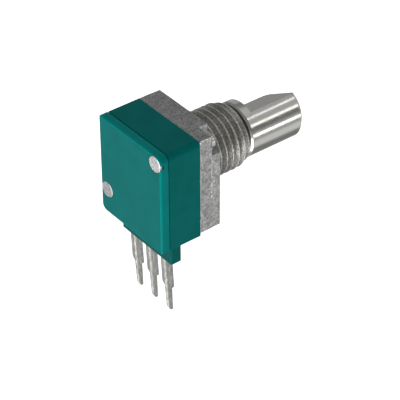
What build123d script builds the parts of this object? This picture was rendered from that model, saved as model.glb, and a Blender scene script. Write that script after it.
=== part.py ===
from build123d import *

import os
from math import cos, radians, sin, tan

# Nine-millimetre rotary potentiometer with a threaded metal bushing and a D-cut metal shaft.
# +X runs out along the shaft, +Z is up, and the three terminals point down, along -Z.
# The origin is on the shaft axis, in the mounting face of the die-cast front housing.
# All lengths are in millimetres.

# ---- driving dimensions -------------------------------------------------------------------

# the stack along the shaft, behind the mounting face
front_depth = 2.50          # zinc front housing
step_depth = 1.05           # its front layer, cut back at two corners
front_wall = 1.00           # zinc left in front of its rear cavity
middle_depth = 3.75         # moulded element housing
cover_depth = 1.05          # moulded rear cover

# the body seen along the shaft
body_width = 9.70
body_top = 4.65
zinc_bottom = -6.20
moulding_bottom = -6.50
# corner radii at the two rivets; the other two corners of each section are square
zinc_corner = 0.15
moulding_corner = 0.60
cover_corner = 0.70

# bushing, M7 x 0.75, and the bore that carries the shaft
thread_d = 7.00
bushing_length = 5.00
thread_chamfer = 0.35       # at the free end: its depth
thread_chamfer_run = 0.90   # and its length along the thread
bore_d = 4.56

# shaft
shaft_d = 6.00
shaft_reach = 12.20         # tip, from the mounting face
flat_start = 6.40           # where the round collar ends and the D-cut begins
flat_height = 1.50          # from the axis, so 4.5 mm across the flat
tip_chamfer = 0.40
shoulder_gap = 0.15         # between the bushing's end and the shaft's shoulder
shoulder_chamfer = 0.45
journal_d = 4.50
groove_d = 3.70
drive_d = 3.00
drive_flats = 2.20
travel = 300                # total turn, degrees
rest_turn = 30              # how far the stored pose is turned back from mid-travel

# retaining parts behind the front wall
washer_t = 0.20
washer_d = 5.40
ring_gap = 0.05
ring_t = 0.35
ring_d = 5.30

# rotor and stops
rotor_d = 7.20
rotor_rear = 3.90           # depth of the flange's rear face
rotor_front = 2.90
hub_d = 5.20
stop_inner_r = 2.75
stop_outer_r = 3.55
post_half_angle = 14.0
stop_play = 1.0             # degrees left between lug and post at each end of the travel
cavity_d = 7.50
rotor_room_d = 7.70
pivot_d = 1.80
pivot_rear = 6.05

# element board, printed film and wiper
board_face = 5.15
board_t = 0.80
board_d = 8.20
board_foot_width = 7.20
board_bottom = -6.10
fit_gap = 0.05              # between a moulded pocket and what lies in it
pivot_hole_d = 2.00
film_t = 0.03
track_r = (2.75, 3.65)
collector_r = (1.35, 1.95)
track_gap = 50              # degrees without film, at the bottom
pad_angle = 9               # degrees of silver at each end of the track
lead_width = 0.60
pad_d = 1.50
wiper_t = 0.10
finger_t = 0.08
finger_width = 0.22
track_fingers = (3.05, 3.37)
collector_fingers = (1.53, 1.79)

# terminals and the block that they are moulded into
pitch = 2.50
blade_width = 1.60
blade_t = 0.28
blade_top = -4.40
bend_z = -9.60              # below the block, where the strips start to lean forward
lean_angle = 2.9
shoulder_z = -12.80
shoulder_run = 0.35
tip_root_width = 0.86
tip_end_width = 0.70
tip_end = -16.18
rib_width = 0.62
rib_depth = 0.12
rib_start = -9.00
eyelet_z = -5.10
eyelet_d = 0.90
eyelet_bore_d = 0.56
eyelet_head_d = 1.40
eyelet_head_t = 0.15
block_rear = 5.54           # depths of the block's rear and front faces
block_front = 4.30
block_width = 8.05
block_bottom = -9.20
floor_top = -5.90
room_width = 6.90

# rivets through the stack, on one diagonal
rivet_y = 3.95
rivet_z = 3.70
rivet_d = 1.30
rivet_hole_d = 1.36
rivet_head_d = 1.74
rivet_rim_t = 0.28
rivet_neck_d = 1.44         # under the head's rim
head_pocket_d = 1.84        # wide enough to break out through the cover's two sides
head_pocket_depth = 0.43
rivet_boss_d = 2.00         # left around each rivet, beside the element board
head_rise = {"upper": 0.0, "lower": 0.04}  # of each head's face above the back face
clinch_d = 1.70
clinch_t = 0.55

# inner edges of the two corner steps, cut back around the rivets' clinched ends
step_edge_y = 2.70
step_edge_z = 2.42

# ---- derived places -----------------------------------------------------------------------

seam = front_depth + middle_depth
rear = seam + cover_depth
board_rear = board_face + board_t
blade_rear = board_face - film_t
blade_front = blade_rear - blade_t
groove_front = front_wall + washer_t + ring_gap
groove_rear = groove_front + ring_t
shoulder_x = bushing_length + shoulder_gap
lug_half_angle = (360 - travel) / 2 - post_half_angle - stop_play
rivets = {"upper": (-rivet_y, rivet_z), "lower": (rivet_y, -rivet_z)}
terminal_ys = {"terminal_1": pitch, "terminal_2": 0.0, "terminal_3": -pitch}


# ---- working planes and shared outlines ---------------------------------------------------

def across(depth):
    """The plane across the shaft at a depth behind the mounting face: local x is +Y, local y is +Z."""
    return Plane.YZ.offset(-depth)


def turned(depth):
    """The same plane turned with the shaft, so that local +y is the side of the flat and the wiper."""
    a = radians(rest_turn)
    return Plane(origin=(-depth, 0, 0), x_dir=(0, cos(a), -sin(a)), z_dir=(1, 0, 0))


def turned_side(radius):
    """A plane facing away from the shaft on the wiper's side: local x runs around, local y to the rear."""
    a = radians(rest_turn)
    out = (0, sin(a), cos(a))
    return Plane(origin=tuple(radius * c for c in out), x_dir=(0, cos(a), -sin(a)), z_dir=out)


def body_outline(bottom, corner):
    """The front housing's, element housing's and cover's outline: rounded corners at the rivets only."""
    with Locations((0, (body_top + bottom) / 2)):
        RectangleRounded(body_width, body_top - bottom, corner)
    with Locations((body_width / 2, body_top)):
        Rectangle(corner, corner, align=(Align.MAX, Align.MAX))
    with Locations((-body_width / 2, bottom)):
        Rectangle(corner, corner, align=(Align.MIN, Align.MIN))


def sector(inner, outer, middle, half, mode=Mode.ADD):
    """A piece of a ring, as wide as twice half degrees, about the direction middle."""
    with BuildLine() as outline:
        a = CenterArc((0, 0), inner, middle - half, 2 * half)
        b = CenterArc((0, 0), outer, middle - half, 2 * half)
        Line(a @ 0, b @ 0)
        Line(a @ 1, b @ 1)
    make_face(outline.edges(), mode=mode)


def rivet_places():
    """The two rivets' places, as Locations on a plane across the shaft."""
    return Locations(*rivets.values())


# ---- front housing with its threaded bushing ----------------------------------------------

with BuildPart() as bushing_housing:
    with BuildSketch(across(front_depth)):
        body_outline(zinc_bottom, zinc_corner)
    extrude(amount=front_depth)
    with BuildSketch(across(step_depth)):
        with Locations((-step_edge_y, step_edge_z)):
            Rectangle(body_width, body_width, align=(Align.MAX, Align.MIN))
        with Locations((step_edge_y, -step_edge_z)):
            Rectangle(body_width, body_width, align=(Align.MIN, Align.MAX))
    extrude(amount=step_depth, mode=Mode.SUBTRACT)
    with BuildSketch(across(0)):
        Circle(thread_d / 2)
    extrude(amount=bushing_length)
    thread_end = bushing_housing.faces().sort_by(Axis.X)[-1]
    chamfer(thread_end.edges(), thread_chamfer, thread_chamfer_run, reference=thread_end)
    with BuildSketch(across(front_depth)):
        Circle(cavity_d / 2)
        sector(stop_inner_r, cavity_d, -90, post_half_angle, mode=Mode.SUBTRACT)
    extrude(amount=front_depth - front_wall, mode=Mode.SUBTRACT)
    with BuildSketch(across(front_wall)):
        Circle(bore_d / 2)
    extrude(amount=front_wall + bushing_length, mode=Mode.SUBTRACT)
    with BuildSketch(across(front_depth)):
        with rivet_places():
            Circle(rivet_hole_d / 2)
    extrude(amount=front_depth - step_depth, mode=Mode.SUBTRACT)
bushing_housing.part.label = "bushing_housing"
export_step(bushing_housing.part, "parts/bushing_housing.step")

# ---- element housing ----------------------------------------------------------------------


def board_outline(gap):
    """The element board: a disc with a foot for the terminals, grown by gap on every side."""
    Circle(board_d / 2 + gap)
    foot_height = -board_bottom + gap
    with Locations((0, -foot_height)):
        Rectangle(board_foot_width + 2 * gap, foot_height, align=(Align.CENTER, Align.MIN))
    with rivet_places():
        Circle(rivet_boss_d / 2 - gap, mode=Mode.SUBTRACT)


with BuildPart() as element_housing:
    with BuildSketch(across(seam)):
        body_outline(moulding_bottom, moulding_corner)
    extrude(amount=middle_depth)
    with BuildSketch(across(seam)):
        board_outline(fit_gap)
    extrude(amount=seam - board_face, mode=Mode.SUBTRACT)
    with BuildSketch(across(board_face)):
        Circle(rotor_room_d / 2)
    extrude(amount=board_face - front_depth, mode=Mode.SUBTRACT)
    with BuildSketch(across(board_face)):
        with Locations((0, floor_top)):
            Rectangle(room_width, -floor_top, align=(Align.CENTER, Align.MIN))
    extrude(amount=board_face - block_front, mode=Mode.SUBTRACT)
    with BuildSketch(across(block_rear)):
        with Locations((0, moulding_bottom)):
            Rectangle(block_width, floor_top - moulding_bottom, align=(Align.CENTER, Align.MIN))
    extrude(amount=block_rear - block_front, mode=Mode.SUBTRACT)
    with BuildSketch(across(seam)):
        with rivet_places():
            Circle(rivet_hole_d / 2)
    extrude(amount=middle_depth, mode=Mode.SUBTRACT)
element_housing.part.label = "element_housing"
export_step(element_housing.part, "parts/element_housing.step")

# ---- rear cover ---------------------------------------------------------------------------

cover_edge = 0.10           # chamfer around the back face: its width there
cover_edge_run = 0.22       # and its length along the sides
clamp_ring_r = (2.90, 3.60)  # ring on the cover that presses on the board

with BuildPart() as rear_cover:
    with BuildSketch(across(rear)):
        body_outline(moulding_bottom, cover_corner)
    extrude(amount=cover_depth)
    back_face = rear_cover.faces().sort_by(Axis.X)[0]
    chamfer(back_face.edges(), cover_edge, cover_edge_run, reference=back_face)
    with BuildSketch(across(seam)):
        Circle(clamp_ring_r[1])
        Circle(clamp_ring_r[0], mode=Mode.SUBTRACT)
    extrude(amount=seam - board_rear)
    with BuildSketch(across(rear)):
        with rivet_places():
            Circle(head_pocket_d / 2)
    extrude(amount=head_pocket_depth, mode=Mode.SUBTRACT)
    with BuildSketch(across(rear)):
        with rivet_places():
            Circle(rivet_hole_d / 2)
    extrude(amount=cover_depth, mode=Mode.SUBTRACT)
rear_cover.part.label = "rear_cover"
export_step(rear_cover.part, "parts/rear_cover.step")

# ---- terminals: tinned strip, ribbed and leaning forward below the block, with a narrow tip --------


def strip_side(depths, top):
    """Side view of a strip between two depths: straight down to the bend, then leaning to its end."""
    back, front = -depths[0], -depths[1]
    lean = (bend_z - tip_end) * tan(radians(lean_angle))
    with BuildLine() as outline:
        Polyline(
            (back, top),
            (back, bend_z),
            (back + lean, tip_end),
            (front + lean, tip_end),
            (front, bend_z),
            (front, top),
            (back, top),
        )
    make_face(outline.edges())


terminals = {}
for name, y in terminal_ys.items():
    rib_bottom = tip_end + tip_end_width / 2
    with BuildPart() as rib:
        with BuildSketch(Plane.XZ.offset(-y)):
            strip_side((blade_rear - rib_depth, blade_front - rib_depth), rib_start)
        extrude(amount=rib_width / 2, both=True)
        with BuildSketch(across(blade_rear)):
            with Locations((y, rib_start)):
                Rectangle(rib_width, rib_start - rib_bottom, align=(Align.CENTER, Align.MAX))
            with Locations((y, rib_bottom)):
                Circle(rib_width / 2)
        extrude(amount=blade_rear, mode=Mode.INTERSECT)
    with BuildPart() as terminal:
        with BuildSketch(across(blade_rear)):
            with BuildLine(Location((y, 0))):
                Polyline(
                    (-tip_end_width / 2, rib_bottom),
                    (-tip_root_width / 2, shoulder_z - shoulder_run),
                    (-blade_width / 2, shoulder_z),
                    (-blade_width / 2, blade_top),
                    (blade_width / 2, blade_top),
                    (blade_width / 2, shoulder_z),
                    (tip_root_width / 2, shoulder_z - shoulder_run),
                    (tip_end_width / 2, rib_bottom),
                )
                ThreePointArc(
                    (tip_end_width / 2, rib_bottom),
                    (0, tip_end),
                    (-tip_end_width / 2, rib_bottom),
                )
            make_face()
            with Locations((y, eyelet_z)):
                Circle(eyelet_d / 2, mode=Mode.SUBTRACT)
        extrude(amount=blade_rear)
        with BuildSketch(Plane.XZ.offset(-y)):
            strip_side((blade_rear, blade_front), blade_top)
        extrude(amount=blade_width, both=True, mode=Mode.INTERSECT)
        with BuildSketch(Plane.XZ.offset(-y)):
            strip_side((blade_rear, blade_rear - rib_depth), rib_start)
        extrude(amount=rib_width / 2, both=True, mode=Mode.SUBTRACT)
        add(rib.part)
    terminal.part.label = name
    export_step(terminal.part, f"parts/{name}.step")
    terminals[name] = terminal.part

# ---- terminal block, moulded around the terminals -------------------------------------------

with BuildPart() as terminal_block:
    with BuildSketch(across(block_rear)):
        with Locations((0, block_bottom)):
            height = board_bottom - fit_gap - block_bottom
            Rectangle(block_width, height, align=(Align.CENTER, Align.MIN))
    extrude(amount=block_rear - block_front)
    with BuildSketch(across(board_face)):
        with Locations((0, block_bottom)):
            Rectangle(block_width, floor_top - block_bottom, align=(Align.CENTER, Align.MIN))
    extrude(amount=board_face - block_front)
    for blade in terminals.values():
        add(blade, mode=Mode.SUBTRACT)
terminal_block.part.label = "terminal_block"
export_step(terminal_block.part, "parts/terminal_block.step")

# ---- element board and the film printed on it -----------------------------------------------


def eyelet_holes():
    """Round holes at the three terminals."""
    with Locations(*((y, eyelet_z) for y in terminal_ys.values())):
        Circle(eyelet_d / 2, mode=Mode.SUBTRACT)


with BuildPart() as element_board:
    with BuildSketch(across(board_rear)):
        board_outline(0)
        Circle(pivot_hole_d / 2, mode=Mode.SUBTRACT)
        eyelet_holes()
    extrude(amount=board_t)
element_board.part.label = "element_board"
export_step(element_board.part, "parts/element_board.step")

with BuildPart() as resistive_track:
    with BuildSketch(across(board_face)):
        sector(*track_r, 90, (360 - track_gap) / 2)
    extrude(amount=film_t)
resistive_track.part.label = "resistive_track"
export_step(resistive_track.part, "parts/resistive_track.step")

with BuildPart() as collector_ring:
    with BuildSketch(across(board_face)):
        Circle(collector_r[1])
        with Locations((0, eyelet_z)):
            Circle(pad_d / 2)
            Rectangle(lead_width, -eyelet_z, align=(Align.CENTER, Align.MIN))
        Circle(collector_r[0], mode=Mode.SUBTRACT)
        eyelet_holes()
    extrude(amount=film_t)
collector_ring.part.label = "collector_ring"
export_step(collector_ring.part, "parts/collector_ring.step")

for name, side in (("end_pad_1", 1), ("end_pad_3", -1)):
    with BuildPart() as end_pad:
        end_angle = -90 + side * (track_gap - pad_angle) / 2
        with BuildSketch(across(board_face)):
            sector(*track_r, end_angle, pad_angle / 2)
            with Locations((side * pitch, eyelet_z)):
                Circle(pad_d / 2)
            with BuildLine():
                near = radians(end_angle)
                start = (track_r[1] * cos(near) * 0.97, track_r[1] * sin(near) * 0.97)
                Polyline(
                    start,
                    (start[0] + side * lead_width, start[1]),
                    (side * (pitch + lead_width / 2), eyelet_z),
                    (side * (pitch - lead_width / 2), eyelet_z),
                    start,
                )
            make_face()
            sector(*track_r, 90, (360 - track_gap) / 2, mode=Mode.SUBTRACT)
            eyelet_holes()
        extrude(amount=film_t)
    end_pad.part.label = name
    export_step(end_pad.part, f"parts/{name}.step")

# ---- eyelets that clamp the terminals on their pads -------------------------------------------

for name, y in terminal_ys.items():
    with BuildPart() as eyelet:
        with BuildSketch(across(board_rear + eyelet_head_t)):
            with Locations((y, eyelet_z)):
                Circle(eyelet_head_d / 2)
        extrude(amount=eyelet_head_t)
        with BuildSketch(across(board_rear)):
            with Locations((y, eyelet_z)):
                Circle(eyelet_d / 2)
        extrude(amount=board_rear - blade_front)
        with BuildSketch(across(blade_front)):
            with Locations((y, eyelet_z)):
                Circle(eyelet_head_d / 2)
        extrude(amount=eyelet_head_t)
        with BuildSketch(across(board_rear + eyelet_head_t)):
            with Locations((y, eyelet_z)):
                Circle(eyelet_bore_d / 2)
        extrude(amount=board_rear - blade_front + 2 * eyelet_head_t, mode=Mode.SUBTRACT)
    eyelet.part.label = name.replace("terminal", "eyelet")
    export_step(eyelet.part, f"parts/{eyelet.part.label}.step")

# ---- rivets that hold the stack ---------------------------------------------------------------

pocket_floor = rear - head_pocket_depth

for name, place in rivets.items():
    head_face = rear + head_rise[name]
    with BuildPart() as rivet:
        for diameter, start, end in (
            (rivet_head_d, head_face, head_face - rivet_rim_t),
            (rivet_neck_d, head_face - rivet_rim_t, pocket_floor),
            (rivet_d, pocket_floor, step_depth),
            (clinch_d, step_depth, step_depth - clinch_t),
        ):
            with BuildSketch(across(start)):
                with Locations(place):
                    Circle(diameter / 2)
            extrude(amount=start - end)
        clinched_end = rivet.faces().sort_by(Axis.X)[-1]
        fillet(clinched_end.edges(), clinch_t / 2)
    rivet.part.label = f"rivet_{name}"
    export_step(rivet.part, f"parts/rivet_{name}.step")

# ---- shaft ------------------------------------------------------------------------------------

drive_end = 3.55            # depth of the shaft's rear end, in the rotor

with BuildPart() as shaft:
    with BuildSketch(Plane.XZ):
        with BuildLine():
            Polyline(
                (-drive_end, 0),
                (-drive_end, drive_d / 2),
                (-groove_rear - ring_t, drive_d / 2),
                (-groove_rear - ring_t, journal_d / 2),
                (-groove_rear, journal_d / 2),
                (-groove_rear, groove_d / 2),
                (-groove_front, groove_d / 2),
                (-groove_front, journal_d / 2),
                (shoulder_x, journal_d / 2),
                (shoulder_x, shaft_d / 2 - shoulder_chamfer),
                (shoulder_x + shoulder_chamfer, shaft_d / 2),
                (shaft_reach - tip_chamfer, shaft_d / 2),
                (shaft_reach, shaft_d / 2 - tip_chamfer),
                (shaft_reach, 0),
                (-drive_end, 0),
            )
        make_face()
    revolve(axis=Axis.X)
    with BuildSketch(turned(-flat_start)):
        with Locations((0, flat_height)):
            Rectangle(shaft_d, shaft_d, align=(Align.CENTER, Align.MIN))
    extrude(amount=shaft_reach - flat_start, mode=Mode.SUBTRACT)
    with BuildSketch(turned(drive_end)):
        Circle(drive_d / 2)
        Rectangle(drive_flats, drive_d, mode=Mode.SUBTRACT)
    extrude(amount=drive_end - groove_rear - ring_t, mode=Mode.SUBTRACT)
shaft.part.label = "shaft"
export_step(shaft.part, "parts/shaft.step")

# ---- washer and retaining ring behind the front wall --------------------------------------------

washer_bore_d = journal_d + 0.20
ring_opening = 70           # degrees

with BuildPart() as thrust_washer:
    with BuildSketch(across(front_wall + washer_t)):
        Circle(washer_d / 2)
        Circle(washer_bore_d / 2, mode=Mode.SUBTRACT)
    extrude(amount=washer_t)
thrust_washer.part.label = "thrust_washer"
export_step(thrust_washer.part, "parts/thrust_washer.step")

with BuildPart() as retaining_ring:
    with BuildSketch(turned(groove_rear)):
        sector(groove_d / 2, ring_d / 2, -90, (360 - ring_opening) / 2)
    extrude(amount=ring_t)
retaining_ring.part.label = "retaining_ring"
export_step(retaining_ring.part, "parts/retaining_ring.step")

# ---- rotor ------------------------------------------------------------------------------------

hub_front = groove_rear + ring_t
boss_rear = 4.50            # depth of the boss that the wiper sits around
boss_d = 2.20
peg_d = 0.50
peg_rear = rotor_rear + wiper_t + 0.15
peg_places = ((-1.70, -1.70), (1.70, -1.70))

with BuildPart() as rotor:
    with BuildSketch(turned(rotor_rear)):
        Circle(rotor_d / 2)
    extrude(amount=rotor_rear - rotor_front)
    with BuildSketch(turned(rotor_front)):
        Circle(hub_d / 2)
    extrude(amount=rotor_front - hub_front)
    with BuildSketch(turned(rotor_front)):
        sector(hub_d / 2 - 0.3, stop_outer_r, 90, lug_half_angle)
    extrude(amount=rotor_front - hub_front)
    with BuildSketch(turned(boss_rear)):
        Circle(boss_d / 2)
    extrude(amount=boss_rear - rotor_rear)
    with BuildSketch(turned(pivot_rear)):
        Circle(pivot_d / 2)
    extrude(amount=pivot_rear - boss_rear)
    with BuildSketch(turned(peg_rear)):
        with Locations(*peg_places):
            Circle(peg_d / 2)
    extrude(amount=peg_rear - rotor_rear)
    with BuildSketch(turned(drive_end)):
        Circle(drive_d / 2)
        with Locations((drive_flats / 2, 0), (-drive_flats / 2 - drive_d, 0)):
            Rectangle(drive_d, drive_d, align=(Align.MIN, Align.CENTER), mode=Mode.SUBTRACT)
    extrude(amount=drive_end - hub_front, mode=Mode.SUBTRACT)
rotor.part.label = "rotor"
export_step(rotor.part, "parts/rotor.step")

# ---- wiper: one stamped spring with two pairs of fingers ------------------------------------------

finger_contact = board_face - film_t - finger_t / 2 - 0.02
finger_root = rotor_rear + wiper_t / 2

with BuildPart() as wiper:
    with BuildSketch(turned(rotor_rear + wiper_t)):
        Circle(rotor_d / 2 - 0.15)
        Circle(boss_d / 2, mode=Mode.SUBTRACT)
        with Locations(*peg_places):
            Circle(peg_d / 2, mode=Mode.SUBTRACT)
        for radii in (track_fingers, collector_fingers):
            with Locations((0.30, sum(radii) / 2)):
                Rectangle(2.40, 0.60, mode=Mode.SUBTRACT)
    extrude(amount=wiper_t)
    for radius in track_fingers + collector_fingers:
        with BuildSketch(turned_side(radius)) as finger:
            with BuildLine():
                Polyline(
                    (-1.15, finger_root),
                    (-0.80, finger_root + 0.10),
                    (0.00, finger_contact),
                    (0.25, finger_contact - 0.22),
                )
            trace(line_width=finger_t)
        extrude(amount=finger_width / 2, both=True)
wiper.part.label = "wiper"
export_step(wiper.part, "parts/wiper.step")
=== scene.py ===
from math import cos, pi, radians, sin, sqrt, tan
from random import Random

import bmesh
import bpy
from mathutils import Matrix, Vector


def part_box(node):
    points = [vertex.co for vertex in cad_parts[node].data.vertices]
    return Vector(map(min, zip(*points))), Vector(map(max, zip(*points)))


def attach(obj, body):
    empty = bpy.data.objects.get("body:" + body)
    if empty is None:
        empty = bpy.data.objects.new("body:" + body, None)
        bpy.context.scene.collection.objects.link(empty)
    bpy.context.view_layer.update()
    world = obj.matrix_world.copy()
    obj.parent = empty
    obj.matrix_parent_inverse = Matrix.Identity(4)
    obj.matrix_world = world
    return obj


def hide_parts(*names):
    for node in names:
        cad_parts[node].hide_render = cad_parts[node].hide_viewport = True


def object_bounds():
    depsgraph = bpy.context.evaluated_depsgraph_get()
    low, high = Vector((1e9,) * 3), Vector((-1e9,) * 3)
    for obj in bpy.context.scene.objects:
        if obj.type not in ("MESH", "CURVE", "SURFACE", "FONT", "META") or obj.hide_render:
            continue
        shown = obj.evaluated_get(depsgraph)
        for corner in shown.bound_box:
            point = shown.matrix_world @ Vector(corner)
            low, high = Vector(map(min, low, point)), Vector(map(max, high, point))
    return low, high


# A nine-millimetre rotary potentiometer. Its meshes are built in millimetres in the row's frame:
# +X out along the shaft, +Z up, the origin in the mounting face. place() scales them to metres.

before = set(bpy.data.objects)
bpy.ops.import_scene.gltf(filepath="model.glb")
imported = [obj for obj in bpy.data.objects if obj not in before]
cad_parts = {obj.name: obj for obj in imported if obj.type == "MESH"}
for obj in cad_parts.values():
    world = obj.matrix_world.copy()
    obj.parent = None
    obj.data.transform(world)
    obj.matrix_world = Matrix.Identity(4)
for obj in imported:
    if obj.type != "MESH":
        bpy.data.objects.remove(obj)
cad_low, cad_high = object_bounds()
MM = 0.001


class Box:
    """A CAD node's box at rest, in millimetres."""

    def __init__(self, node):
        low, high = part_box(node)
        self.x0, self.y0, self.z0 = (c / MM for c in low)
        self.x1, self.y1, self.z1 = (c / MM for c in high)
        self.y, self.z = (self.y0 + self.y1) / 2, (self.z0 + self.z1) / 2


ZINC = Box("bushing_housing")
MIDDLE = Box("element_housing")
COVER = Box("rear_cover")
BLOCK = Box("terminal_block")
SHAFT = Box("shaft")
BOARD = Box("element_board")
RIVETS = {"upper": Box("rivet_upper"), "lower": Box("rivet_lower")}
TERMINALS = {n: Box(n) for n in ("terminal_1", "terminal_2", "terminal_3")}

# sizes that the boxes don't give, in millimetres, as in the CAD model
STEP_X, STEP_Y, STEP_Z = -1.05, 2.70, 2.42   # the front layer's two corner steps
PARTING_X = STEP_X - 0.03                    # where the halves of the casting's die met
ZINC_CORNER, MIDDLE_CORNER, COVER_CORNER, PLAIN_CORNER = 0.15, 0.60, 0.70, 0.07
FRONT_WALL = 1.00
CAVITY_R, POST_INNER_R, POST_HALF_ANGLE = 3.75, 2.75, 14.0
THREAD_R, THREAD_ROOT_R, PITCH = 3.50, 3.04, 0.75
THREAD_CHAMFER, THREAD_CHAMFER_RUN = 0.35, 0.90
THREAD_EASE = 0.02                           # how far crest and root are eased at their corners
BORE_R = 2.28
SHAFT_R, JOURNAL_R, GROOVE_R, DRIVE_R, DRIVE_FLAT = 3.00, 2.25, 1.85, 1.50, 1.10
SHOULDER_GAP, SHOULDER_CHAMFER = 0.15, 0.45
GROOVE_FRONT, GROOVE_REAR, GROOVE_LAND = -1.25, -1.60, -1.95
FLAT_X, FLAT_H, TIP_CHAMFER, REST_TURN = 6.40, 1.50, 0.40, 30
ROTOR_ROOM_R, BOARD_FOOT_HALF = 3.85, 3.60
FLOOR_TOP, ROOM_HALF = -5.90, 3.45
HEAD_R, RIM_T, NECK_R, SHANK_R, SHANK_HOLE_R, CLINCH_R = 0.87, 0.28, 0.72, 0.65, 0.68, 0.85
POCKET_R, POCKET_DEPTH = 0.92, 0.43
COVER_EDGE, COVER_EDGE_RUN = 0.10, 0.22
CLAMP_R = (2.90, 3.60)
SHOULDER_Z, SHOULDER_RUN, TIP_ROOT_HALF, TIP_END_HALF = -12.80, 0.35, 0.43, 0.35
BLADE_T, RIB_DEPTH, RIB_START = 0.28, 0.12, -9.00
BEND_Z, LEAN = -9.60, 2.9
EYELET_Z, EYELET_R = -5.10, 0.45

# the seam between middle and cover shows as a groove between two lips
SEAM = MIDDLE.x0
SEAM_DEPTH = 0.13
LIP_INSET, LIP_WIDTH = 0.03, 0.09

# the share that each side takes of its section's insets: at y0, y1, z0 and z1
CASTING_SHARES = (1, 0.5, 0.35, 0.35)
COVER_SHARES = (1, 0.3, 1, 1)

# a face belongs to an edge if no coordinate of its normal reaches this
FLAT_FACING = 0.97

# a colour mix node's sockets: its two inputs and its output
MIX_A, MIX_B, MIX_RESULT = 6, 7, 2


# ---- mesh building ------------------------------------------------------------------------

def new_piece(name, bm):
    """A scene object made from a bmesh, with outward normals."""
    bmesh.ops.remove_doubles(bm, verts=bm.verts, dist=1e-5)
    bmesh.ops.recalc_face_normals(bm, faces=bm.faces)
    mesh = bpy.data.meshes.new(name)
    bm.to_mesh(mesh)
    bm.free()
    obj = bpy.data.objects.new(name, mesh)
    bpy.context.scene.collection.objects.link(obj)
    return obj


def bridge(bm, loops, closed_loop=True):
    """Quads between neighbouring loops of vertices."""
    count = len(loops[0])
    for a, b in zip(loops, loops[1:]):
        for i in range(count if closed_loop else count - 1):
            j = (i + 1) % count
            corners = []
            for v in (a[i], a[j], b[j], b[i]):
                if v not in corners:
                    corners.append(v)
            if len(corners) > 2:
                bm.faces.new(corners)


def skin(name, loops):
    """A closed solid through loops of points, with a flat cap at each end."""
    bm = bmesh.new()
    rings = [[bm.verts.new(p) for p in loop] for loop in loops]
    bridge(bm, rings)
    bm.faces.new(reversed(rings[0]))
    bm.faces.new(rings[-1])
    return new_piece(name, bm)


def arc(cy, cz, r, start, end, steps):
    """Points on an arc in the plane across the shaft, angles in degrees from +Y towards +Z."""
    angles = [radians(start + (end - start) * k / steps) for k in range(steps + 1)]
    return [(cy + r * cos(a), cz + r * sin(a)) for a in angles]


def rounded_rect(y0, y1, z0, z1, r, steps=8, plain=None):
    """Outline of a rectangle with round corners; plain is another radius for two opposite ones."""
    other = plain or r
    corners = (
        (y1, z1, -1, -1, 0, other), (y0, z1, 1, -1, 90, r),
        (y0, z0, 1, 1, 180, other), (y1, z0, -1, 1, 270, r),
    )
    outline = []
    for y, z, sy, sz, start, radius in corners:
        outline += arc(y + sy * radius, z + sz * radius, radius, start, start + 90, steps)
    return outline


def prism(name, outline, x0, x1):
    """An outline across the shaft, extruded from x0 to x1."""
    return skin(name, [[(x, y, z) for y, z in outline] for x in (x0, x1)])


def rounded_block(name, box, corner, stations, steps=8, shares=(1, 1, 1, 1)):
    """A body section, round at its rivet corners; each station (x, inset) draws its outline in.

    The shares of the inset are for the sides at y0, y1, z0 and z1."""
    loops = []
    for x, inset in stations:
        y0, y1, z0, z1 = (share * inset for share in shares)
        sides = box.y0 + y0, box.y1 - y1, box.z0 + z0, box.z1 - z1
        radii = max(corner - inset, 0.02), steps, max(PLAIN_CORNER - inset, 0.02)
        loops.append([(x, y, z) for y, z in rounded_rect(*sides, *radii)])
    return skin(name, loops)


def edge_round(x_edge, radius, inward, steps=5, reach=None):
    """Stations that round an edge at x_edge; inward is +1 if the block lies at higher x, else -1.

    The rounding takes radius off the sides and reach, or the same, off the end."""
    stations = []
    for k in range(steps + 1):
        a = pi / 2 * k / steps
        stations.append((x_edge + inward * (reach or radius) * (1 - cos(a)), radius * (1 - sin(a))))
    return stations if inward > 0 else stations[::-1]


def lathe(name, profile, cy=0.0, cz=0.0, segments=96):
    """A solid of revolution about an axis along X: profile is a list of (x, radius)."""
    bm = bmesh.new()
    rings = []
    for x, r in profile:
        if r < 1e-6:
            rings.append([bm.verts.new((x, cy, cz))] * segments)
            continue
        ring = []
        for k in range(segments):
            a = 2 * pi * k / segments
            ring.append(bm.verts.new((x, cy + r * cos(a), cz + r * sin(a))))
        rings.append(ring)
    bridge(bm, rings)
    for ring in (rings[0], rings[-1]):
        if ring[0] is not ring[1]:
            bm.faces.new(ring)
    return new_piece(name, bm)


def bake(obj):
    """Applies the object's modifiers."""
    depsgraph = bpy.context.evaluated_depsgraph_get()
    mesh = bpy.data.meshes.new_from_object(obj.evaluated_get(depsgraph))
    obj.modifiers.clear()
    obj.data = mesh


def carve(obj, cutter, operation="DIFFERENCE"):
    """Cuts one solid with another, or joins them, and discards the second."""
    modifier = obj.modifiers.new("carve", "BOOLEAN")
    modifier.operation = operation
    modifier.object = cutter
    modifier.solver = "EXACT"
    bake(obj)
    bpy.data.objects.remove(cutter)


def soften(obj, width, segments=2, angle=35, material=-1):
    """Rounds the sharp edges; their faces take the material with this index, if it isn't -1."""
    modifier = obj.modifiers.new("edges", "BEVEL")
    modifier.material = material
    modifier.width = width
    modifier.segments = segments
    modifier.limit_method = "ANGLE"
    modifier.angle_limit = radians(angle)
    modifier.use_clamp_overlap = True
    modifier.miter_outer = "MITER_ARC"
    bake(obj)


def place(obj, body, materials, node, crease=32):
    """Finishes a piece: to metres, smooth shading, materials, and its place in the frame."""
    obj.data.shade_smooth()
    obj.data.set_sharp_from_angle(angle=radians(crease))
    modifier = obj.modifiers.new("normals", "WEIGHTED_NORMAL")
    modifier.keep_sharp = True
    bake(obj)
    obj.data.transform(Matrix.Scale(MM, 4))
    for material in materials:
        obj.data.materials.append(material)
    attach(obj, body)
    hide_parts(node)


# ---- materials ----------------------------------------------------------------------------

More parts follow.
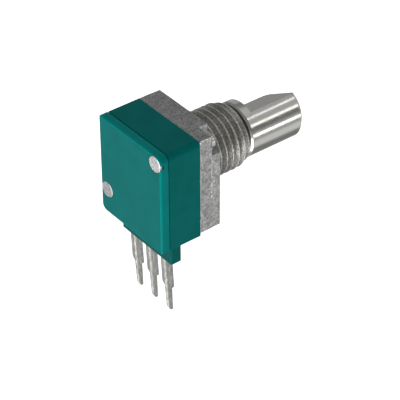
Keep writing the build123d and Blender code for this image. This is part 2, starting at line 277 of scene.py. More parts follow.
class Look:
    """A node material: a Principled shader with textures in the row's frame, in millimetres."""

    def __init__(self, name, color, roughness, metallic=0.0):
        self.material = bpy.data.materials.new(name)
        self.material.use_nodes = True
        self.tree = self.material.node_tree
        self.shader = self.tree.nodes["Principled BSDF"]
        self.shader.inputs["Base Color"].default_value = (*color, 1)
        self.shader.inputs["Roughness"].default_value = roughness
        self.shader.inputs["Metallic"].default_value = metallic
        coordinates = self.tree.nodes.new("ShaderNodeTexCoord")
        mapping = self.tree.nodes.new("ShaderNodeMapping")
        mapping.inputs["Scale"].default_value = (1 / MM, 1 / MM, 1 / MM)
        self.link(coordinates.outputs["Object"], mapping.inputs["Vector"])
        self.place = mapping.outputs["Vector"]

    def link(self, a, b):
        """Links an output socket to an input socket."""
        self.tree.links.new(a, b)

    def noise(self, scale, detail=3.0, stretch=None, seed=0.0):
        """Noise with scale features per millimetre; stretch squeezes it along the axes."""
        node = self.tree.nodes.new("ShaderNodeTexNoise")
        node.noise_dimensions = "4D"
        node.inputs["W"].default_value = seed
        node.inputs["Scale"].default_value = scale
        node.inputs["Detail"].default_value = detail
        vector = self.place
        if stretch:
            mapping = self.tree.nodes.new("ShaderNodeMapping")
            mapping.inputs["Scale"].default_value = stretch
            self.link(vector, mapping.inputs["Vector"])
            vector = mapping.outputs["Vector"]
        self.link(vector, node.inputs["Vector"])
        return node.outputs["Fac"]

    def remap(self, value, low, high, to_low=0.0, to_high=1.0, smooth=True):
        """Maps low..high to to_low..to_high."""
        node = self.tree.nodes.new("ShaderNodeMapRange")
        node.interpolation_type = "SMOOTHSTEP" if smooth else "LINEAR"
        for name, number in (("From Min", low), ("From Max", high), ("To Min", to_low), ("To Max", to_high)):
            node.inputs[name].default_value = number
        self.link(value, node.inputs["Value"])
        return node.outputs["Result"]

    def math(self, operation, a, b):
        """One arithmetic step on two sockets or numbers."""
        node = self.tree.nodes.new("ShaderNodeMath")
        node.operation = operation
        for socket, value in zip(node.inputs, (a, b)):
            if isinstance(value, (int, float)):
                socket.default_value = value
            else:
                self.link(value, socket)
        return node.outputs["Value"]

    def mix(self, factor, a, b):
        """Mixes two colours, each a tuple or a socket."""
        node = self.tree.nodes.new("ShaderNodeMix")
        node.data_type = "RGBA"
        self.link(factor, node.inputs["Factor"])
        for socket, value in ((node.inputs[MIX_A], a), (node.inputs[MIX_B], b)):
            if isinstance(value, tuple):
                socket.default_value = (*value, 1)
            else:
                self.link(value, socket)
        return node.outputs[MIX_RESULT]

    def color(self, socket):
        """Takes the base colour from a socket."""
        self.link(socket, self.shader.inputs["Base Color"])

    def roughness(self, socket):
        """Takes the roughness from a socket."""
        self.link(socket, self.shader.inputs["Roughness"])

    def bump(self, height, distance, strength=1.0):
        """Relief: distance is the height of the full range, in millimetres."""
        node = self.tree.nodes.new("ShaderNodeBump")
        node.inputs["Distance"].default_value = distance * MM
        node.inputs["Strength"].default_value = strength
        self.link(height, node.inputs["Height"])
        previous = self.shader.inputs["Normal"].links
        if previous:
            self.link(previous[0].from_socket, node.inputs["Normal"])
        self.link(node.outputs["Normal"], self.shader.inputs["Normal"])

    def along_and_around(self):
        """Distance along the shaft from the mounting face and from its axis, in millimetres."""
        split = self.tree.nodes.new("ShaderNodeSeparateXYZ")
        self.link(self.place, split.inputs["Vector"])
        x, y, z = split.outputs
        y2, z2 = self.math("MULTIPLY", y, y), self.math("MULTIPLY", z, z)
        return x, self.math("SQRT", self.math("ADD", y2, z2), 0)


def green_plastic(name, seed, tone=1.0):
    """Teal thermoplastic with a faint cloudiness and a fine satin grain; tone scales its colour."""
    colors = (0.0006, 0.134, 0.126), (0.0014, 0.152, 0.144)
    deep, pale = [tuple(tone * c for c in color) for color in colors]
    look = Look(name, pale, 0.36)
    cloud = look.remap(look.noise(0.5, 2, seed=seed), 0.3, 0.7)
    look.color(look.mix(cloud, deep, pale))
    look.roughness(look.remap(look.noise(3.0, 4, seed=seed + 1), 0.3, 0.7, 0.30, 0.40))
    look.bump(look.noise(9.0, 3, seed=seed + 2), 0.004)
    look.bump(look.noise(0.9, 2, seed=seed + 3), 0.012)
    look.shader.inputs["IOR"].default_value = 1.5
    look.shader.inputs["Specular IOR Level"].default_value = 0.06
    look.shader.inputs["Specular Tint"].default_value = (0.10, 1.0, 1.0, 1)
    return look.material


def cast_zinc(name, tone=1.0):
    """Die-cast zinc: grey, speckled by the die's surface, with small pits; tone scales its colour."""
    colors = (0.26, 0.263, 0.257), (0.88, 0.89, 0.875), (0.33, 0.332, 0.322)
    dark, pale, stained = [tuple(tone * c for c in color) for color in colors]
    look = Look(name, pale, 0.50, metallic=1.0)
    speckle = look.remap(look.noise(8.0, 3, seed=1), 0.34, 0.66)
    mottle = look.remap(look.noise(3.0, 4, seed=52), 0.36, 0.64)
    stain = look.remap(look.noise(1.0, 3, seed=2), 0.35, 0.7)
    grain = look.math("ADD", look.math("MULTIPLY", speckle, 0.55), look.math("MULTIPLY", mottle, 0.45))
    look.color(look.mix(look.math("MULTIPLY", stain, 0.35), look.mix(grain, dark, pale), stained))
    look.roughness(look.remap(look.noise(5.0, 4, seed=3), 0.3, 0.7, 0.40, 0.60))
    look.bump(look.noise(3.2, 5, seed=4), 0.06)
    look.bump(look.noise(1.3, 2, seed=5), 0.04)
    return look.material


def zinc_edge_wear_and_highlight():
    """The casting's edges and flash: rubbed bright in patches, and paler than the casting overall as a
    painted highlight along the edges.
    """
    look = Look("zinc_edge_wear_and_highlight", (0.80, 0.80, 0.78), 0.32, metallic=1.0)
    rubbed = look.remap(look.noise(4.0, 4, seed=54), 0.42, 0.62)
    look.color(look.mix(rubbed, (0.45, 0.45, 0.44), (1.0, 1.0, 0.98)))
    look.roughness(look.remap(look.noise(5.0, 4, seed=55), 0.3, 0.7, 0.14, 0.26))
    look.bump(look.noise(5.0, 4, seed=56), 0.012)
    return look.material


def thread_grime_and_painted_highlight():
    """The bushing's thread: grimy grey on its flanks and roots, bright along the crests in patches, partly as
    wear and partly as a painted highlight.
    """
    look = Look("zinc_thread", (0.25, 0.24, 0.23), 0.38, metallic=1.0)
    x, radius = look.along_and_around()
    taper = look.remap(x, ZINC.x1 - THREAD_CHAMFER_RUN, ZINC.x1, 0.0, THREAD_CHAMFER, smooth=False)
    # where the radius nears the crest the colour is lifted to pale grey: partly wear, partly a painted
    # highlight
    crest = look.remap(look.math("ADD", radius, taper), THREAD_R - 0.08, THREAD_R - 0.01)
    wear_and_highlight_patches = look.remap(look.noise(2.2, 4, seed=6), 0.38, 0.62, 0.25, 1.0)
    grime = look.remap(look.noise(8.0, 4, seed=7), 0.35, 0.65)
    dark = look.mix(grime, (0.26, 0.255, 0.24), (0.62, 0.61, 0.58))
    look.color(look.mix(look.math("MULTIPLY", crest, wear_and_highlight_patches), dark, (0.86, 0.85, 0.81)))
    look.roughness(look.remap(look.noise(4.0, 3, seed=8), 0.3, 0.7, 0.26, 0.5))
    look.bump(look.noise(7.0, 5, seed=9), 0.03)
    return look.material


def nickel():
    """Nickel-plated turned brass: bright, with faint lathe rings along the shaft."""
    look = Look("nickel_plate", (0.73, 0.725, 0.695), 0.14, metallic=1.0)
    rings = look.noise(1.0, 3, stretch=(18.0, 0.25, 0.25), seed=10)
    look.roughness(look.remap(look.noise(2.0, 4, seed=11), 0.3, 0.7, 0.10, 0.19))
    look.bump(rings, 0.0030)
    look.bump(look.noise(5.0, 3, seed=12), 0.0012)
    return look.material


def shoulder_nickel_painted_shadow():
    """The inner part of the collar's chamfer: the same plating, darkened as painted shadow of the gap between
    the bushing's end and the collar.
    """
    look = Look("nickel_shoulder_painted_shadow", (0.17, 0.168, 0.16), 0.20, metallic=1.0)
    look.roughness(look.remap(look.noise(3.0, 4, seed=58), 0.3, 0.7, 0.14, 0.30))
    look.bump(look.noise(5.0, 3, seed=59), 0.004)
    return look.material


def milled_nickel():
    """The milled flat: the same plating over coarser cutter marks."""
    look = Look("nickel_milled", (0.42, 0.41, 0.395), 0.30, metallic=1.0)
    marks = look.noise(1.0, 4, stretch=(1.2, 9.0, 9.0), seed=13)
    look.roughness(look.remap(look.noise(3.0, 4, seed=14), 0.3, 0.7, 0.26, 0.38))
    look.bump(marks, 0.004)
    return look.material


def tin_plate():
    """Dull tin over formed brass strip."""
    look = Look("tin_plate", (0.52, 0.50, 0.485), 0.40, metallic=1.0)
    mottle = look.remap(look.noise(5.0, 4, stretch=(1, 1, 0.4), seed=15), 0.35, 0.7)
    look.color(look.mix(mottle, (0.33, 0.332, 0.316), (0.62, 0.62, 0.592)))
    look.roughness(look.remap(look.noise(4.0, 3, seed=16), 0.3, 0.7, 0.32, 0.48))
    look.bump(look.noise(6.0, 4, stretch=(1, 1, 0.3), seed=17), 0.012)
    return look.material


def rivet_head_metal(name, tone):
    """The pressed head: pale satin aluminium; tone scales its colour."""
    colors = (0.62, 0.64, 0.64), (0.90, 0.92, 0.91)
    dark, pale = [tuple(tone * c for c in color) for color in colors]
    look = Look(name, pale, 0.48, metallic=1.0)
    mottle = look.remap(look.noise(4.0, 4, seed=18), 0.3, 0.7)
    look.color(look.mix(mottle, dark, pale))
    look.roughness(look.remap(look.noise(4.0, 4, seed=18), 0.3, 0.7, 0.42, 0.55))
    look.bump(look.noise(3.5, 4, seed=19), 0.014)
    return look.material


def rivet_end_metal():
    """The clinched end: the same metal in a darker colour than the head, scored by the staking tool."""
    look = Look("rivet_end_metal", (0.66, 0.66, 0.64), 0.26, metallic=1.0)
    look.roughness(look.remap(look.noise(4.0, 4, seed=48), 0.3, 0.7, 0.20, 0.34))
    look.bump(look.noise(4.0, 4, seed=49), 0.012)
    return look.material


def simple_metal(name, color, roughness, seed):
    """Rolled or drawn metal inside the body."""
    look = Look(name, color, roughness, metallic=1.0)
    look.roughness(look.remap(look.noise(5.0, 3, seed=seed), 0.3, 0.7, roughness * 0.8, roughness * 1.2))
    look.bump(look.noise(6.0, 3, seed=seed + 1), 0.004)
    return look.material


def simple_plastic(name, dark, light, roughness, scale, seed):
    """Moulded, laminated or printed material inside the body."""
    look = Look(name, light, roughness)
    look.color(look.mix(look.remap(look.noise(scale, 4, seed=seed), 0.35, 0.65), dark, light))
    look.bump(look.noise(scale * 2, 3, seed=seed + 1), 0.004)
    return look.material


# ---- pieces -------------------------------------------------------------------------------

def thread_radius(x, knot_radius):
    """The thread's radius at x: relieved at the housing, chamfered at the free end."""
    relief, slope = 0.15, 2.2
    relieved = THREAD_ROOT_R + THREAD_EASE + max(x - relief, 0) * slope
    chamfered = THREAD_R - THREAD_CHAMFER * (1 - (ZINC.x1 - x) / THREAD_CHAMFER_RUN)
    return min(knot_radius, relieved, chamfered)


def threaded_bushing():
    """The bushing: an M7 x 0.75 helix outside, a plain bore inside, its root sunk in the front wall."""
    columns = 128
    sunk, lip = 0.5, 0.3        # how deep its root goes, and where the bore's closing wall is
    crest_ease, root_ease = 0.018, 0.03
    depth = THREAD_R - THREAD_ROOT_R
    crest = PITCH / 8
    flank = depth * tan(radians(30))
    root = PITCH - crest - 2 * flank
    knots = (
        (0.0, THREAD_R - THREAD_EASE), (crest_ease, THREAD_R),
        (crest - crest_ease, THREAD_R), (crest, THREAD_R - THREAD_EASE),
        (crest + flank, THREAD_ROOT_R + THREAD_EASE), (crest + flank + root_ease, THREAD_ROOT_R),
        (crest + flank + root - root_ease, THREAD_ROOT_R),
        (crest + flank + root, THREAD_ROOT_R + THREAD_EASE),
    )
    turns = int(ZINC.x1 / PITCH) + 3
    rows = [(t * PITCH + s - 2 * PITCH, r) for t in range(turns) for s, r in knots]
    bm = bmesh.new()
    grid = []
    for i in range(columns + 1):
        a = 2 * pi * i / columns
        column = []
        for s, r in rows:
            x = min(max(s + PITCH * i / columns, 0.0), ZINC.x1)
            r = thread_radius(x, r) if 0 < x < ZINC.x1 else thread_radius(x, THREAD_ROOT_R)
            column.append(bm.verts.new((x, r * cos(a), r * sin(a))))
        grid.append(column)
    for a, b in zip(grid, grid[1:]):
        for j in range(len(rows) - 1):
            bm.faces.new((a[j], b[j], b[j + 1], a[j + 1]))
    bmesh.ops.remove_doubles(bm, verts=bm.verts, dist=1e-5)
    bmesh.ops.dissolve_degenerate(bm, edges=bm.edges, dist=1e-5)
    ends = {}
    for edge in bm.edges:
        if edge.is_boundary:
            ends.setdefault(edge.verts[0].co.x < ZINC.x1 / 2, []).append(edge)
    for at_base, edges in ends.items():
        made = bmesh.ops.extrude_edge_only(bm, edges=edges)["geom"]
        ring = [v for v in made if isinstance(v, bmesh.types.BMVert)]
        for v in ring:
            if at_base:
                v.co.x = -sunk
            else:
                scale = BORE_R / sqrt(v.co.y ** 2 + v.co.z ** 2)
                v.co.y *= scale
                v.co.z *= scale
        if at_base:
            bmesh.ops.contextual_create(bm, geom=[e for e in made if isinstance(e, bmesh.types.BMEdge)])
        else:
            edges = [e for e in made if isinstance(e, bmesh.types.BMEdge) and e.is_boundary]
            bottom = bmesh.ops.extrude_edge_only(bm, edges=edges)["geom"]
            for v in bottom:
                if isinstance(v, bmesh.types.BMVert):
                    v.co.x = lip
            bmesh.ops.contextual_create(bm, geom=[e for e in bottom if isinstance(e, bmesh.types.BMEdge)])
    for face in bm.faces:
        face.material_index = 1
    return new_piece("threaded_bushing", bm)


def corner_step(name, side):
    """Cutter for one corner step of the front layer: side +1 is the +Y, lower one."""
    fillet = 0.25
    y = sorted((side * STEP_Y, side * (ZINC.y1 + 1)))
    z = sorted((-side * STEP_Z, -side * (ZINC.y1 + 3)))
    return prism(name, rounded_rect(*y, *z, fillet, 6), STEP_X, 1.0)


def flash_ridge(name, start, end, outward, half_width, height, seed):
    """A ragged ridge of flash along a straight line on the casting, sunk a little into it."""
    spacing, sunk = 0.10, 0.06
    start, end, outward = Vector(start), Vector(end), Vector(outward).normalized()
    side = (end - start).cross(outward).normalized() * half_width
    samples = int((end - start).length / spacing) + 1
    rng = Random(seed)
    loops = []
    for k in range(samples + 1):
        p = start.lerp(end, k / samples)
        crest = p + outward * height * rng.uniform(0.25, 1.0) + side * rng.uniform(-0.5, 0.5)
        loops.append([p - side, crest, p + side, p - outward * sunk])
    return skin(name, loops)


def flash_ridges(height):
    """Flash along the parting line, around the front layer, and two beads on the edge above the -Y side."""
    x = PARTING_X
    insets = [share * height for share in CASTING_SHARES]
    y0, y1 = ZINC.y0 + insets[0], ZINC.y1 - insets[1]
    z0, z1 = ZINC.z0 + insets[2], ZINC.z1 - insets[3]
    clear, half_width = 0.10, 0.05
    side_rise, end_gap = 3.4, 0.3    # the -Y ridge stops well above the bottom, the others near a corner
    ridges = [
        ("flash_side", (x, y0, z0 + side_rise), (x, y0, STEP_Z - clear), (0, -1, 0), 0.85),
        ("flash_bottom", (x, y0 + end_gap, z0), (x, STEP_Y - clear, z0), (0, 0, -1), 0.3),
        ("flash_far_side", (x, y1, clear - STEP_Z), (x, y1, z1 - end_gap), (0, 1, 0), 0.4),
        ("flash_top", (x, clear - STEP_Y, z1), (x, y1 - end_gap, z1), (0, 0, 1), 0.3),
    ]
    lines = [(*ridge, half_width, share * height) for *ridge, share in ridges]
    sunk, bead_gap, bead_half_width, bead_height = 0.03, 0.15, 0.045, 0.030
    for index, angle in enumerate((22, 72)):
        out = (0, -cos(radians(angle)), sin(radians(angle)))
        y = ZINC.y0 + ZINC_CORNER + out[1] * (ZINC_CORNER - sunk)
        z = ZINC.z1 - ZINC_CORNER + out[2] * (ZINC_CORNER - sunk)
        ends = (ZINC.x0 + bead_gap, y, z), (STEP_X - bead_gap, y, z)
        lines.append((f"bead_{index}", *ends, out, bead_half_width, bead_height))
    return [flash_ridge(*line, 90 + seed) for seed, line in enumerate(lines)]


def drill_rivet_holes(piece, x0, x1):
    """Cuts the holes of both rivets from x0 to x1."""
    for name, rivet in RIVETS.items():
        carve(piece, lathe("hole_" + name, [(x0, SHANK_HOLE_R), (x1, SHANK_HOLE_R)], rivet.y, rivet.z, 40))


def build_bushing_housing(materials):
    """The zinc casting: front housing with two corner steps, rear cavity and stop post, and the bushing."""
    draft, flash = 0.03, 0.05
    rear_edge, front_edge = 0.06, 0.10
    stations = [(x, inset + flash) for x, inset in edge_round(ZINC.x0, rear_edge, 1, 3)]
    stations += [(PARTING_X, flash), (STEP_X + 0.01, draft + flash)]
    stations += [(x, inset + draft + flash) for x, inset in edge_round(0.0, front_edge, -1, 4)]
    piece = rounded_block("bushing_housing_casting", ZINC, ZINC_CORNER, stations, shares=CASTING_SHARES)
    for name, side in (("step_cut_upper", -1), ("step_cut_lower", 1)):
        carve(piece, corner_step(name, side))
    soften(piece, 0.09, 3, 50)
    for ridge in flash_ridges(flash):
        carve(piece, ridge, "UNION")
    for face in piece.data.polygons:
        # edge faces take the pale edge metal (index 2): wear in patches and a painted highlight along the
        # edges
        on_edge = max(abs(c) for c in face.normal) < FLAT_FACING
        # upward faces take a darker copy of the zinc (index 3) as painted shade
        face.material_index = 2 if on_edge else 3 if face.normal.z > FLAT_FACING else 0
    carve(piece, threaded_bushing(), "UNION")
    post = arc(0, 0, POST_INNER_R, -90 - POST_HALF_ANGLE, -90 + POST_HALF_ANGLE, 8)
    ring = arc(0, 0, CAVITY_R, -90 + POST_HALF_ANGLE, 270 - POST_HALF_ANGLE, 72)
    carve(piece, prism("cavity", ring + post, ZINC.x0 - 1, -FRONT_WALL))
    carve(piece, lathe("bore", [(ZINC.x0 - 1, BORE_R), (1.0, BORE_R)]))
    drill_rivet_holes(piece, ZINC.x0 - 1, 0.0)
    place(piece, "body", materials, "bushing_housing")


def build_element_housing(material):
    """The moulded middle housing with the room for rotor, board and terminals."""
    front_edge = 0.05
    stations = [(SEAM, SEAM_DEPTH), (SEAM + 0.03, SEAM_DEPTH)]
    stations += [(SEAM + 0.045, LIP_INSET), (SEAM + LIP_WIDTH, 0.0)]
    stations += edge_round(MIDDLE.x1, front_edge, -1, 3)
    piece = rounded_block("element_housing_shell", MIDDLE, MIDDLE_CORNER, stations)
    rotor_room_floor = MIDDLE.x0 + 0.5
    carve(piece, lathe("rotor_room", [(rotor_room_floor, ROTOR_ROOM_R), (MIDDLE.x1 + 1, ROTOR_ROOM_R)]))
    gap = 0.05
    carve(piece, lathe("board_room", [(MIDDLE.x0 - 1, BOARD.y1 + gap), (BOARD.x1, BOARD.y1 + gap)]))
    foot = BOARD_FOOT_HALF + gap
    outline = [(-foot, BOARD.z0 - gap), (foot, BOARD.z0 - gap), (foot, 0), (-foot, 0)]
    carve(piece, prism("board_foot", outline, MIDDLE.x0 - 1, BOARD.x1))
    room = [(-ROOM_HALF, FLOOR_TOP), (ROOM_HALF, FLOOR_TOP), (ROOM_HALF, 0), (-ROOM_HALF, 0)]
    carve(piece, prism("terminal_room", room, BOARD.x1 - 0.1, BLOCK.x1))
    below = MIDDLE.z0 - 1
    slot = [(BLOCK.y0, below), (BLOCK.y1, below), (BLOCK.y1, FLOOR_TOP), (BLOCK.y0, FLOOR_TOP)]
    carve(piece, prism("block_slot", slot, BLOCK.x0, BLOCK.x1))
    drill_rivet_holes(piece, MIDDLE.x0 - 1, MIDDLE.x1 + 1)
    place(piece, "body", [material], "element_housing")


def build_rear_cover(materials):
    """The cover: rounded back edge, rivet-head pockets that break out at the sides, clamp ring inside."""
    bevel_end = COVER.x0 + COVER_EDGE_RUN
    stations = edge_round(COVER.x0, COVER_EDGE, 1, 6, reach=COVER_EDGE_RUN)
    stations += [(SEAM - LIP_WIDTH, 0.0), (SEAM - 0.05, LIP_INSET)]
    stations += [(SEAM - 0.035, SEAM_DEPTH), (SEAM, SEAM_DEPTH)]
    piece = rounded_block("rear_cover_shell", COVER, COVER_CORNER, stations, 12, COVER_SHARES)
    for face in piece.data.polygons:
        if len(face.vertices) == 4:
            # the cover's side faces take a lighter copy of its teal than the back: painted light
            on_edge = face.center.x < bevel_end
            # the rounded back edge takes a much lighter copy of the teal as a painted highlight, its bottom
            # run the lightest
            face.material_index = 2 if not on_edge else 3 if face.center.z < COVER.z0 + COVER_EDGE else 1
    inner, outer = CLAMP_R
    root = SEAM - 0.2
    ring = [(root, inner), (COVER.x1, inner), (COVER.x1, outer), (root, outer), (root, inner)]
    carve(piece, lathe("clamp_ring", ring), "UNION")
    for name, rivet in RIVETS.items():
        pocket = [(COVER.x0 - 1, POCKET_R), (COVER.x0 + POCKET_DEPTH, POCKET_R), (COVER.x0 + POCKET_DEPTH, 0)]
        carve(piece, lathe("pocket_" + name, pocket, rivet.y, rivet.z, 64))
        hole = [(COVER.x0, SHANK_HOLE_R), (SEAM + 1, SHANK_HOLE_R)]
        carve(piece, lathe("hole_" + name, hole, rivet.y, rivet.z, 40))
    place(piece, "body", materials, "rear_cover", 50)


def build_terminal_block(materials):
    """The block under the body that the terminals are moulded into."""
    corner, edge = 0.12, 0.07
    outline = rounded_rect(BLOCK.x0, BLOCK.x1, BLOCK.y0, BLOCK.y1, corner, 5)
    bottom_edge = (BLOCK.z0, edge), (BLOCK.z0 + edge * 0.3, edge * 0.3), (BLOCK.z0 + edge, 0)
    cx = (BLOCK.x0 + BLOCK.x1) / 2
    loops = []
    for z, inset in (*bottom_edge, (BLOCK.z1, 0)):
        fx = 1 - 2 * inset / (BLOCK.x1 - BLOCK.x0)
        fy = 1 - 2 * inset / (BLOCK.y1 - BLOCK.y0)
        loops.append([(cx + (x - cx) * fx, y * fy, z) for x, y in outline])
    piece = skin("terminal_block_moulding", loops)
    rear_facing = -0.9          # the normal's X, at most, on the rear face and its lower edge
    for face in piece.data.polygons:
        # the rear face and its lower edge take a darker copy of the teal: painted shade under the cover's
        # overhang
        face.material_index = int(face.normal.x < rear_facing)
    place(piece, "body", materials, "terminal_block")


def strip_offset(y):
    """How far the formed rib pushes the strip forward at a distance y from its middle."""
    flat, foot = 0.10, 0.36
    t = min(max((abs(y) - flat) / (foot - flat), 0.0), 1.0)
    return RIB_DEPTH * (1 - t * t * (3 - 2 * t))


def build_terminal(name, box, material):
    """A formed strip: flat in the block, ribbed and leaning forward below it, with a narrow tip."""
    half = (box.y1 - box.y0) / 2
    samples, tip_steps, rib_run = 28, 8, 0.4
    tip_centre = box.z0 + TIP_END_HALF
    # (height, half width, share of the rib's depth)
    stations = [
        (box.z1, half, 0.0), (RIB_START + rib_run, half, 0.0), (RIB_START + rib_run / 2, half, 0.5),
        (RIB_START, half, 1.0), (BEND_Z, half, 1.0), (SHOULDER_Z, half, 1.0),
        (SHOULDER_Z - SHOULDER_RUN, TIP_ROOT_HALF, 1.0),
    ]
    for k in range(tip_steps + 1):
        a = radians(80) * k / tip_steps
        stations.append((tip_centre - TIP_END_HALF * sin(a), TIP_END_HALF * cos(a), 1.0))
    loops = []
    for z, w, rib in stations:
        x = box.x0 + max(BEND_Z - z, 0) * tan(radians(LEAN))
        ys = [w * (2 * k / samples - 1) for k in range(samples + 1)]
        rear = [(x + rib * strip_offset(y), box.y + y, z) for y in ys]
        front = [(x + BLADE_T + rib * strip_offset(y), box.y + y, z) for y in reversed(ys)]
        loops.append(rear + front)
    piece = skin(name + "_strip", loops)
    soften(piece, 0.035, 2, 60)
    hole = [(box.x0 - 1, EYELET_R), (box.x1 + 1, EYELET_R)]
    carve(piece, lathe("eyelet_hole", hole, box.y, EYELET_Z, 32))
    place(piece, "body", [material], name)


def build_rivet(name, box, materials):
    """A staked rivet: thin flat head on a neck at the back, shank, clinched end on the corner step."""
    rim_end = box.x0 + RIM_T
    pocket_floor = COVER.x0 + POCKET_DEPTH
    head = [(box.x0 + 0.012, 0.0), (box.x0 + 0.008, HEAD_R * 0.5), (box.x0, HEAD_R * 0.88)]
    head += [(box.x0 + 0.006, HEAD_R * 0.95), (box.x0 + 0.04, HEAD_R), (rim_end - 0.03, HEAD_R)]
    head += [(rim_end, HEAD_R - 0.03), (rim_end, NECK_R), (pocket_floor, NECK_R)]
    shank = [(pocket_floor, SHANK_R), (STEP_X, SHANK_R)]
    end = [(STEP_X, CLINCH_R), (box.x1 - 0.20, CLINCH_R), (box.x1 - 0.08, CLINCH_R - 0.06)]
    end += [(box.x1 - 0.02, CLINCH_R - 0.18), (box.x1, CLINCH_R * 0.5), (box.x1, 0.0)]
    piece = lathe(f"rivet_{name}_turned", head + shank + end, box.y, box.z, 64)
    for face in piece.data.polygons:
        face.material_index = int(face.center.x > STEP_X - 0.01)
    place(piece, "body", materials, "rivet_" + name, 40)


def build_shaft(materials):
    """The shaft: turned, grooved for the ring, flatted for the knob and at the rotor."""
    tip = SHAFT.x1
    shoulder = ZINC.x1 + SHOULDER_GAP
    painted_shadow_run = 0.27                 # how much of the collar's chamfer is darkened as painted shadow, from the shoulder
    collar = shoulder + SHOULDER_CHAMFER
    profile = [
        (SHAFT.x0, 0.0), (SHAFT.x0, DRIVE_R), (GROOVE_LAND, DRIVE_R), (GROOVE_LAND, JOURNAL_R),
        (GROOVE_REAR, JOURNAL_R), (GROOVE_REAR, GROOVE_R), (GROOVE_FRONT, GROOVE_R),
        (GROOVE_FRONT, JOURNAL_R), (shoulder, JOURNAL_R), (shoulder, SHAFT_R - SHOULDER_CHAMFER),
        (shoulder + painted_shadow_run, SHAFT_R - SHOULDER_CHAMFER + painted_shadow_run),
        (collar - 0.04, SHAFT_R - 0.04), (collar + 0.03, SHAFT_R),
        (tip - TIP_CHAMFER - 0.06, SHAFT_R), (tip - TIP_CHAMFER + 0.03, SHAFT_R - 0.05),
        (tip - 0.05, SHAFT_R - TIP_CHAMFER + 0.03), (tip, SHAFT_R - TIP_CHAMFER - 0.05), (tip, 0.0),
    ]
    piece = lathe("shaft_turned", profile, segments=160)
    for face in piece.data.polygons:
        # the inner part of the collar's chamfer takes the dark nickel: painted shadow of the gap under the
        # bushing's end
        face.material_index = 2 if shoulder - 0.01 < face.center.x < shoulder + painted_shadow_run else 0
    turn = Matrix.Rotation(-radians(REST_TURN), 4, "X")
    wide, high = 5, 6           # past the shaft on all sides
    flat_outline = [(-wide, FLAT_H), (wide, FLAT_H), (wide, high), (-wide, high)]
    flat = prism("flat_cut", flat_outline, FLAT_X, tip + 1)
    flat.data.transform(turn)
    for face in flat.data.polygons:
        face.material_index = 1
    carve(piece, flat)
    for name, side in (("drive_cut_a", 1), ("drive_cut_b", -1)):
        y = sorted((side * DRIVE_FLAT, side * 3))
        cutter = prism(name, rounded_rect(*y, -3, 3, 0.01, 1), SHAFT.x0 - 1, GROOVE_LAND)
        cutter.data.transform(turn)
        carve(piece, cutter)
    soften(piece, 0.045, 2, 40)
    place(piece, "spindle", materials, "shaft", 28)


# ---- the object ---------------------------------------------------------------------------

build_bushing_housing([cast_zinc("zinc_casting"), thread_grime_and_painted_highlight(), zinc_edge_wear_and_highlight(), cast_zinc("zinc_top_painted_shade", 0.72)])
build_element_housing(green_plastic("green_middle", 20, 1.14))
build_rear_cover([
    green_plastic("green_cover", 30, 1.08), green_plastic("green_cover_edge_painted_highlight", 36, 2.15),
    # a lighter teal for the cover's sides as painted light, and the lightest for its bottom rear edge as a
    # painted highlight
    green_plastic("green_cover_side_painted_light", 38, 1.78), green_plastic("green_cover_lip_painted_highlight", 42, 3.2),
])
build_terminal_block([green_plastic("green_block", 40), green_plastic("green_block_rear_painted_shade", 44, 0.68)])
tin = tin_plate()
for terminal_name, terminal_box in TERMINALS.items():
    build_terminal(terminal_name, terminal_box, tin)
staked_end = rivet_end_metal()
for rivet_name, head_tone in (("upper", 0.95), ("lower", 0.73)):
    head_metal = rivet_head_metal("rivet_head_" + rivet_name, head_tone)
    build_rivet(rivet_name, RIVETS[rivet_name], [head_metal, staked_end])
build_shaft([nickel(), milled_nickel(), shoulder_nickel_painted_shadow()])

INNER = {
    simple_metal("eyelet_brass", (0.70, 0.50, 0.22), 0.35, 50): ("eyelet_1", "eyelet_2", "eyelet_3"),
    simple_plastic("phenolic", (0.10, 0.045, 0.015), (0.20, 0.10, 0.04), 0.55, 4.0, 60): ("element_board",),
    simple_plastic("carbon_film", (0.008, 0.008, 0.009), (0.02, 0.02, 0.022), 0.6, 6.0, 62): (
        "resistive_track",
    ),
    simple_metal("silver_film", (0.60, 0.59, 0.56), 0.5, 64): ("collector_ring", "end_pad_1", "end_pad_3"),
    simple_plastic("acetal", (0.62, 0.58, 0.48), (0.72, 0.68, 0.58), 0.45, 1.0, 66): ("rotor",),
    simple_metal("spring_bronze", (0.62, 0.36, 0.18), 0.3, 68): ("wiper",),
    simple_metal("spring_steel", (0.42, 0.42, 0.43), 0.35, 70): ("retaining_ring", "thrust_washer"),
}
for inner_material, inner_nodes in INNER.items():
    for inner_node in inner_nodes:
        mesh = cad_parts[inner_node].data
        mesh.materials.clear()
        mesh.materials.append(inner_material)

# ---- floor, light and camera ----------------------------------------------------------------

CAMERA_AZIMUTH, CAMERA_ELEVATION, CAMERA_ROLL = radians(-37.956), radians(36.572), radians(-0.235)
CAMERA_DISTANCE, CAMERA_LENS = 186.45 * MM, 171.23
AIM = Vector((-1.048, -2.874, -3.923)) * MM
# (elevation in degrees, grey) of the surroundings from straight down to straight up
SURROUNDINGS = (
    (-90, 0.40), (-56, 0.20), (-45, 0.62), (-34, 0.62), (-22, 0.36), (-12, 0.50), (0, 0.32),
    (8, 0.18), (30, 0.21), (38, 0.21), (47, 0.20), (57, 0.50), (90, 0.85),
)


def direction(azimuth, elevation):
    """Unit vector towards an azimuth, counted from -Y towards +X, and an elevation, in radians."""
    return Vector((sin(azimuth) * cos(elevation), -cos(azimuth) * cos(elevation), sin(elevation)))


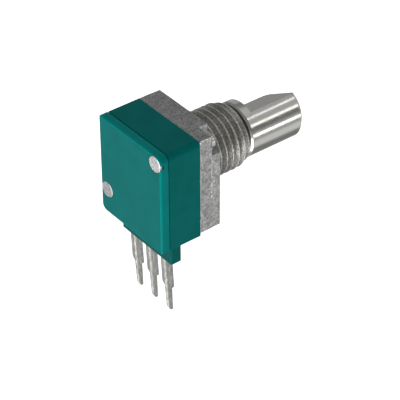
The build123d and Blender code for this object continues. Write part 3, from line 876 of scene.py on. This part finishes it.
def add_camera():
    """The camera, placed by its angles and its distance from the point it looks at."""
    back = direction(CAMERA_AZIMUTH, CAMERA_ELEVATION)
    right = Vector((cos(CAMERA_AZIMUTH), sin(CAMERA_AZIMUTH), 0))
    up = back.cross(right)
    turned_right = cos(CAMERA_ROLL) * right + sin(CAMERA_ROLL) * up
    turned_up = -sin(CAMERA_ROLL) * right + cos(CAMERA_ROLL) * up
    data = bpy.data.cameras.new("camera")
    data.lens = CAMERA_LENS
    data.sensor_width = 36
    data.clip_start = 0.005
    data.clip_end = 10
    camera = bpy.data.objects.new("camera", data)
    camera.matrix_world = Matrix((turned_right, turned_up, back)).transposed().to_4x4()
    camera.matrix_world.translation = AIM + back * CAMERA_DISTANCE
    bpy.context.scene.collection.objects.link(camera)
    bpy.context.scene.camera = camera


def add_panel(name, azimuth, elevation, width, height, radiance, color=(1, 1, 1), distance=0.5):
    """A softbox that faces the object, its width and height in degrees seen from the object."""
    data = bpy.data.lights.new(name, "AREA")
    data.shape = "RECTANGLE"
    data.size = 2 * distance * tan(radians(width) / 2)
    data.size_y = 2 * distance * tan(radians(height) / 2)
    data.energy = radiance * pi * data.size * data.size_y
    data.color = color
    panel = bpy.data.objects.new(name, data)
    towards = direction(radians(azimuth), radians(elevation))
    panel.location = towards * distance
    panel.rotation_euler = towards.to_track_quat("Z", "Y").to_euler()
    panel.visible_camera = False
    bpy.context.scene.collection.objects.link(panel)


def add_floor():
    """A plain pale floor just under the terminals' tips."""
    bm = bmesh.new()
    reach, gap = 2.0, 0.2 * MM
    z = cad_low[2] - gap
    corners = [bm.verts.new((sx * reach, sy * reach, z)) for sx, sy in ((-1, -1), (1, -1), (1, 1), (-1, 1))]
    bm.faces.new(corners)
    mesh = bpy.data.meshes.new("floor")
    bm.to_mesh(mesh)
    bm.free()
    floor = bpy.data.objects.new("floor", mesh)
    look = Look("floor", (0.9, 0.9, 0.9), 0.9)
    look.shader.inputs["Emission Color"].default_value = (1, 1, 1, 1)
    look.shader.inputs["Emission Strength"].default_value = 1.0
    mesh.materials.append(look.material)
    floor.visible_glossy = floor.visible_diffuse = floor.visible_shadow = False
    bpy.context.scene.collection.objects.link(floor)


def set_world():
    """Studio surroundings: white to the camera, and soft bands of grey by elevation to the object."""
    world = bpy.data.worlds.new("studio")
    world.use_nodes = True
    tree = world.node_tree
    coordinates = tree.nodes.new("ShaderNodeTexCoord")
    split = tree.nodes.new("ShaderNodeSeparateXYZ")
    height = tree.nodes.new("ShaderNodeMapRange")
    height.inputs["From Min"].default_value = -1
    ramp = tree.nodes.new("ShaderNodeValToRGB")
    ramp.color_ramp.interpolation = "EASE"
    stops = ramp.color_ramp.elements
    for index, (elevation, grey) in enumerate(SURROUNDINGS):
        position = (1 + sin(radians(elevation))) / 2
        stop = stops[index] if index < 2 else stops.new(position)
        stop.position = position
        stop.color = (grey, grey, grey, 1)
    path = tree.nodes.new("ShaderNodeLightPath")
    mix = tree.nodes.new("ShaderNodeMix")
    mix.data_type = "RGBA"
    mix.inputs[MIX_B].default_value = (1, 1, 1, 1)
    tree.links.new(coordinates.outputs["Generated"], split.inputs["Vector"])
    tree.links.new(split.outputs["Z"], height.inputs["Value"])
    tree.links.new(height.outputs["Result"], ramp.inputs["Fac"])
    tree.links.new(path.outputs["Is Camera Ray"], mix.inputs["Factor"])
    tree.links.new(ramp.outputs["Color"], mix.inputs[MIX_A])
    tree.links.new(mix.outputs[MIX_RESULT], tree.nodes["Background"].inputs["Color"])
    bpy.context.scene.world = world


add_camera()
add_floor()
set_world()
add_panel("key", -88, -8, 34, 48, 3.5)
add_panel("bounce", -54, -42, 34, 46, 2.4)
add_panel("collar_fill", 146, 15, 36, 30, 0.19)
add_panel("fill_low", 38, -38, 50, 24, 0.05)
add_panel("fill_high", 44, 36, 40, 30, 0.22)
add_panel("strip_thin", 51, 46, 30, 1.5, 2.8)
add_panel("strip_warm", 36, 23.5, 30, 8, 1.18, (1.0, 0.98, 0.90))
add_panel("strip_white", 33.4, -10, 30, 8.5, 1.7)
bpy.context.scene.view_settings.view_transform = "Standard"
